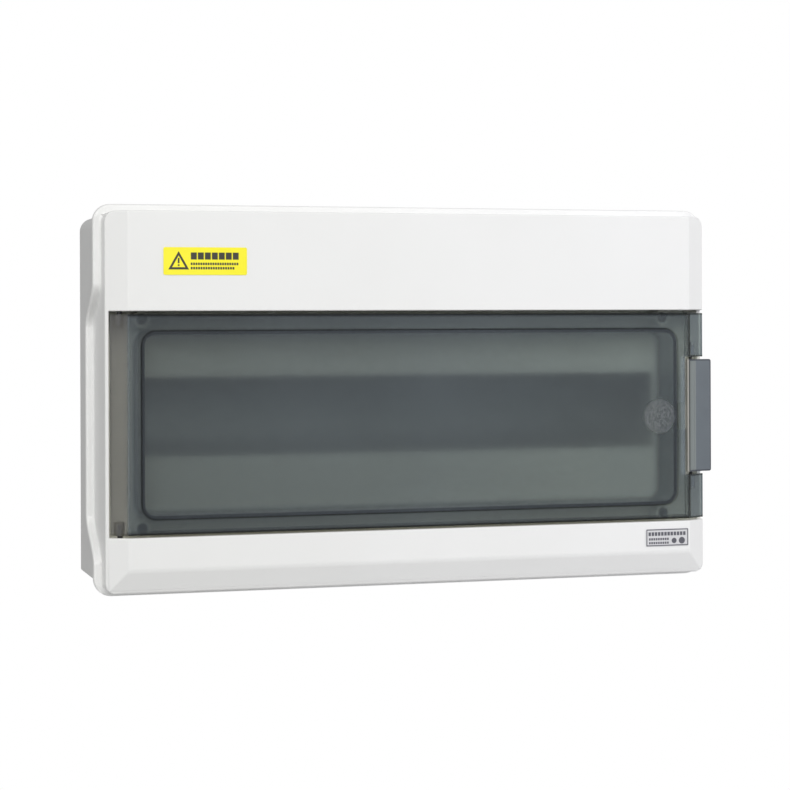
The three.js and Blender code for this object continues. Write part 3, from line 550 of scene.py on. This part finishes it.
def door_clearness_with_shade(s, shade_lines):
    """How strongly the tint of the plastic comes through. It is lower towards the hinges and the bottom,
    which is painted shade, and on the lines of painted shade.
    """
    return s.times(
        across_door(s, *CLEARNESS_WITH_PAINTED_SHADE),
        s.span(s.z, RIB_BOTTOM, RIB_TOP, PAINTED_SHADE_CLEARNESS_AT_BOTTOM, 1.0),
        s.varied(700, 1, 1 - CLEARNESS_SPECKLE, 1 + CLEARNESS_SPECKLE),
        s.span(shade_lines, 0, 1, 1, CLEARNESS_IN_SHADE_LINES),
    )


def door_veil(s, shade_lines, lock, granules):
    """How much pale veil lies on the plastic: partly the milky plastic and partly a painted reflection,
    which makes it strongest in the middle, with a painted highlight on the left crease.
    """
    margin_x = RIB_HALF_WIDTH + MARGIN_INSET
    hinge_margin = s.within(s.x, -CREASE_X, -margin_x, SOFT_BLUR)
    latch_margin = s.rectangle(
        margin_x, NOTCH_X, DOOR_MIDDLE_Z - NOTCH_HALF_HEIGHT, DOOR_MIDDLE_Z + NOTCH_HALF_HEIGHT,
        SOFT_BLUR)
    # a painted highlight along the left crease
    left_crease_highlight = s.within(s.x, -CREASE_X + LEFT_CREASE_HIGHLIGHT[0], -CREASE_X + LEFT_CREASE_HIGHLIGHT[1])
    # partly the milky plastic, partly a painted reflection that is strongest in the middle
    veil = s.plus(
        across_door(s, *HAZE_AND_PAINTED_REFLECTION),
        s.span(s.noise(9, 2), 0.35, 0.65, -HAZE_CLOUDS, HAZE_CLOUDS),
        s.times(hinge_margin, HAZE_OF_HINGE_MARGIN),
        s.times(latch_margin, HAZE_OF_LATCH_MARGIN),
        s.times(left_crease_highlight, PAINTED_HIGHLIGHT_ON_LEFT_CREASE),
        s.times(beyond_right_crease(s), HAZE_OF_EAR),
        s.times(lock, s.span(granules, 0.4, 0.6, *HAZE_OF_LOCK)),
    )
    return s.times(veil, s.span(shade_lines, 0, 1, 1, HAZE_IN_SHADE_LINES))


def door_polycarbonate(name):
    """Clear at its margins, finely frosted inside the rib, hazy on the wrapped edge and the lock mark.
    Its tint is a little darker towards the hinges and the bottom, which is painted shade, and lines of
    painted shade run along the rib, the right crease, the notch and the top and bottom edges."""
    s = Shading(name)
    s.set(IOR=POLYCARBONATE_IOR)
    wrap = s.span(s.x, -CREASE_X, -CREASE_X - SOFT_BLUR)
    lock = s.disc(*LOCK_PLACE, LOCK_RADIUS - WIDE_BLUR / 2, WIDE_BLUR)
    granules = s.noise(750, 1, 0.8)
    # lines of painted shade
    shade_lines = door_painted_shade_lines(s)
    # painted shade: the tint is darker towards the hinges and the bottom
    clearness_with_shade = door_clearness_with_shade(s, shade_lines)
    tint = s.colours(clearness_with_shade, (0, 0, 0), CLEAR_TINT)
    speckled = s.colours(s.times(lock, s.span(granules, 0.45, 0.6)), tint, LOCK_TINT)
    s.feed("Base Color", s.colours(wrap, speckled, WRAP_TINT))
    # Divided by the strength of the tint, so that the veil is as pale on a dark tint as on a light one.
    veil_and_painted_light = s.math("DIVIDE", door_veil(s, shade_lines, lock, granules), s.largest(clearness_with_shade, wrap))
    s.feed("Transmission Weight", s.math("SUBTRACT", 1.0, s.largest(veil_and_painted_light, 0.0)))
    s.feed("Roughness", s.plus(
        s.varied(160, 3, *DOOR_ROUGHNESS),
        s.times(rib_outline(s, -FROST_INSET, WIDE_BLUR), FROST_ROUGHNESS),
        s.times(wrap, WRAP_ROUGHNESS),
        s.times(lock, LOCK_ROUGHNESS),
    ))
    s.feed("Normal", s.bump(s.times(s.noise(1600, 1, 0.7), s.largest(wrap, lock)), 0.05 * MM, 0.7))
    return finish_smoked(s, DOOR_SHADOW, DOOR_SMOKE, DOOR_SMOKE_DENSITY)


def latch_polycarbonate(name):
    """Nearly opaque where the wing is backed by its leg, and lighter beside the door, where the sloped
    strip is painted light. A dark rim and a dark line near the left edge are painted shade, and a pale left
    edge is painted light."""
    s = Shading(name)
    s.set(IOR=POLYCARBONATE_IOR, Transmission_Weight=LATCH_TRANSMISSION)
    body = s.colours(s.noise(40, 2), *LATCH_TINTS)
    bend = s.span(s.x, WING_BEND_X + SOFT_BLUR / 2, WING_BEND_X - SOFT_BLUR / 2)
    # painted light: the sloped strip is lighter
    painted_slope = s.colours(bend, body, LATCH_SLOPE_PAINTED_LIGHT)
    # painted shade: a dark line near the left edge
    shade_line = s.within(s.x, LATCH_EDGE_X, LATCH_EDGE_X + LATCH_EDGE_LINE)
    painted_line = s.colours(shade_line, painted_slope, LATCH_LINE_PAINTED_SHADE)
    # painted shade: a dark rim
    rim_reach = LATCH_HALF_HEIGHT - LATCH_RIM
    inside_rim = s.rectangle(
        LATCH_EDGE_X, LATCH_RIGHT - LATCH_RIM, DOOR_MIDDLE_Z - rim_reach, DOOR_MIDDLE_Z + rim_reach,
        NARROW_BLUR)
    painted_rim = s.colours(inside_rim, LATCH_RIM_PAINTED_SHADE, painted_line)
    # painted light: a pale left edge
    edge_light = s.span(s.x, LATCH_EDGE_X, LATCH_EDGE_X - EDGE_BLUR)
    s.feed("Base Color", s.colours(edge_light, painted_rim, LATCH_EDGE_PAINTED_LIGHT))
    s.feed("Roughness", s.varied(160, 3, 0.28, 0.34))
    s.feed("Normal", s.bump(s.noise(1500, 2, 0.6), 0.01 * MM, 0.4))
    return finish_smoked(s, LATCH_SHADOW, LATCH_SMOKE, LATCH_SMOKE_DENSITY)


def printed_film(name, low, high, ink, marks):
    """A glossy sticker. marks(s) gives the mask of what is printed on it."""
    s = Shading(name)
    paper = s.colours(s.noise(50, 3), low, high)
    s.feed("Base Color", s.colours(marks(s), paper, ink))
    s.feed("Roughness", s.varied(120, 3, 0.34, 0.46))
    s.feed("Normal", s.bump(s.noise(300, 2), 0.03 * MM, 0.4))
    return s.material


def row_of_blocks(s, left, right, bottom, top, count, filled):
    """A row of equal plain blocks, which stands for a line of text. filled is the end of a block, as
    a share of the pitch."""
    pitch = (right - left) / count
    part = s.math("FRACT", s.math("DIVIDE", s.math("SUBTRACT", s.x, left), pitch))
    return s.times(s.rectangle(left, right, bottom, top), s.within(part, 0.02, filled, 0.1))


def triangle(s, middle, bottom, top, half_width, blur=EDGE_BLUR):
    """1 inside an upright triangle."""
    up = s.math("DIVIDE", s.math("SUBTRACT", top, s.z), top - bottom)
    reach = s.times(up, half_width)
    inside = s.span(s.math("SUBTRACT", reach, s.off(s.x, middle)), -blur / 2, blur / 2)
    return s.times(inside, s.span(s.z, bottom - blur / 2, bottom + blur / 2))


def warning_marks(s):
    """A triangle with an upright stroke and a dot in it, beside three rows of blocks."""
    left, bottom, right = WARNING_LOW[0], WARNING_LOW[2], WARNING_HIGH[0]
    middle = left + TRIANGLE_MIDDLE
    triangles = [
        triangle(s, middle, bottom + foot, bottom + tip, half_width)
        for foot, tip, half_width in (TRIANGLE_OUTER, TRIANGLE_INNER)
    ]
    strokes = [
        s.rectangle(middle - STROKE_HALF_WIDTH, middle + STROKE_HALF_WIDTH, bottom + low, bottom + high)
        for low, high in (STROKE, STROKE_DOT)
    ]
    rows = [
        row_of_blocks(s, left + WARNING_TEXT_LEFT, right - gap, bottom + low, bottom + high, count, filled)
        for gap, low, high, count, filled in WARNING_ROWS
    ]
    return s.largest(s.math("SUBTRACT", *triangles, clamp=True), *strokes, *rows)


def rating_marks(s):
    """A thin frame round three rows of blocks and two discs."""
    left, bottom, right, top = RATING_LOW[0], RATING_LOW[2], RATING_HIGH[0], RATING_HIGH[2]
    frames = [
        s.rectangle(left + inset, right - inset, bottom + inset, top - inset)
        for inset in (RATING_INSET, RATING_INSET + RATING_LINE)
    ]
    rows = [
        row_of_blocks(s, left + left_gap, right - right_gap, top - low, top - high, count, filled)
        for left_gap, right_gap, low, high, count, filled in RATING_ROWS
    ]
    discs = [
        s.disc(right - inset, top - RATING_DISC_DROP, radius)
        for inset, radius in RATING_DISCS
    ]
    return s.largest(s.math("SUBTRACT", *frames, clamp=True), *rows, *discs)


# ---- mesh refining ----
def cover_rounding(edge):
    """The rounding of one edge of the cover, by where the edge is."""
    x, y, z = (edge.verts[0].co + edge.verts[1].co) / 2
    facing = min(face.normal.y for face in edge.link_faces)
    beyond_block = max(abs(x) - BLOCK_HALF_WIDTH, abs(z) - BLOCK_HALF_HEIGHT)
    before_shoulder = y < SHOULDER_Y + SHOULDER_REACH
    if beyond_block > LIP_BEYOND and edge.is_convex and facing < LEANING_FORWARD:
        return LIP_ROUNDING
    at_lip_root = beyond_block > LIP_ROOT_BEYOND and y > LIP_FRONT_Y
    if at_lip_root and not edge.is_convex and facing < LEANING_FORWARD:
        if z > BLOCK_HALF_HEIGHT - FILLET:
            return TOP_FILLET
        return FILLET if z > BOTTOM_CREASE_Z else BOTTOM_FILLET
    if z < -BLOCK_HALF_HEIGHT + NEAR / 2 and before_shoulder and edge.is_convex:
        return UNDERSIDE_ROUNDING
    if y < FRONT_Y + NEAR and abs(z - BOTTOM_CREASE_Z) < NEAR:
        return BOTTOM_CREASE_ROUNDING
    if before_shoulder and facing < FACING_FORWARD and edge.is_convex:
        return BLOCK_ROUNDING
    return SMALL_ROUNDING


def evenly(radius):
    """The same rounding for every edge, in the form that refined takes it."""
    return (lambda edge: radius), (radius,)


def refined(node, name, rounding, radii, segments):
    """A copy of a CAD node with flat faces joined and its edges rounded. rounding gives the radius
    of an edge, one of radii, which are applied in that order."""
    bm = bmesh.new()
    bm.from_mesh(NODES[node].data)
    bmesh.ops.remove_doubles(bm, verts=bm.verts, dist=MERGE_DISTANCE)
    bmesh.ops.dissolve_limit(
        bm, angle_limit=FLAT_ANGLE, verts=bm.verts, edges=bm.edges, use_dissolve_boundaries=False)
    for radius in radii:
        bm.normal_update()
        chosen = [
            edge for edge in bm.edges
            if len(edge.link_faces) == 2 and edge.calc_face_angle(0) > ROUNDED_ANGLE
            and rounding(edge) == radius
        ]
        bmesh.ops.bevel(
            bm, geom=chosen, offset=radius, offset_type="OFFSET", segments=segments, profile=0.5,
            affect="EDGES", clamp_overlap=radius < LIMITED_BELOW)
    for face in bm.faces:
        face.smooth = True
    for edge in bm.edges:
        edge.smooth = edge.calc_face_angle(0) < SHARP_ANGLE
    mesh = bpy.data.meshes.new(name)
    bm.to_mesh(mesh)
    bm.free()
    piece = bpy.data.objects.new(name, mesh)
    bpy.context.scene.collection.objects.link(piece)
    flatten = piece.modifiers.new("flat_faces", "WEIGHTED_NORMAL")
    flatten.keep_sharp = True
    return piece


def finish_piece(piece, body, material, node):
    """Gives a piece its material, and puts it in the place of a CAD node."""
    piece.data.materials.append(material)
    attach(piece, body)
    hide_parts(node)


# ---- building ----
SLOT_MATERIALS = {
    # the cover is painted lighter towards the right, where more light falls; the cloudy rest is its own
    # tone
    "cover_plastic": moulded_plastic(
        "cover_plastic", low=(0.735, 0.735, 0.72), high=(0.84, 0.84, 0.845), roughness=0.42,
        painted_light_sideways=0.85),
    "base_plastic": moulded_plastic(
        "base_plastic", low=(0.62, 0.62, 0.61), high=(0.65, 0.65, 0.64), roughness=0.5),
    "smoked_plastic": door_polycarbonate("door_polycarbonate"),
    "latch_plastic": latch_polycarbonate("latch_polycarbonate"),
    "seal_rubber": rubber("seal_rubber"),
    "zinc_steel": plated_metal(
        "zinc_plate", low=(0.60, 0.61, 0.62), high=(0.70, 0.71, 0.72), roughness=0.3,
        stretch=(0.2, 3, 3)),
    "black_steel": blackened_steel("black_steel"),
    "support_plastic": moulded_plastic(
        "support_plastic", low=(0.62, 0.62, 0.59), high=(0.68, 0.68, 0.65), roughness=0.55),
    "bar_brass": plated_metal(
        "drawn_brass", low=(0.68, 0.50, 0.22), high=(0.78, 0.60, 0.30), roughness=0.3,
        stretch=(0.15, 3, 3)),
    "earth_plastic": moulded_plastic(
        "earth_plastic", low=(0.03, 0.26, 0.06), high=(0.05, 0.34, 0.09), roughness=0.45),
    "negative_plastic": moulded_plastic(
        "negative_plastic", low=(0.02, 0.09, 0.34), high=(0.03, 0.13, 0.44), roughness=0.45),
    "warning_film": printed_film(
        "warning_film", low=(0.88, 0.80, 0.02), high=(0.92, 0.84, 0.03), ink=(0.04, 0.04, 0.03),
        marks=warning_marks),
    "rating_film": printed_film(
        "rating_film", low=(0.62, 0.62, 0.64), high=(0.66, 0.66, 0.68), ink=(0.11, 0.11, 0.13),
        marks=rating_marks),
}
# Nodes whose edges have their own rounding, with the radii in the order they are cut.
ROUNDED = {
    "cover": (cover_rounding, (
        LIP_ROUNDING, FILLET, BOTTOM_FILLET, BOTTOM_CREASE_ROUNDING, UNDERSIDE_ROUNDING, BLOCK_ROUNDING,
        TOP_FILLET)),
    "base": evenly(BASE_ROUNDING),
    "door": evenly(DOOR_ROUNDING),
    "latch": evenly(LATCH_ROUNDING),
}

make_camera()
make_lights()
make_world()
make_floor()

for row in frame["record"]["subparts"]:
    node = row["node"]
    slot = row["material_slot"]
    segments = SEGMENTS if node in ROUNDED else SMALL_SEGMENTS
    piece = refined(node, f"{node}_shape", *ROUNDED.get(node, evenly(SMALL_ROUNDING)), segments)
    finish_piece(piece, NODES[node]["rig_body"], SLOT_MATERIALS[slot], node)

bpy.context.scene.view_settings.view_transform = "Standard"
bpy.context.scene.cycles.use_denoising = True
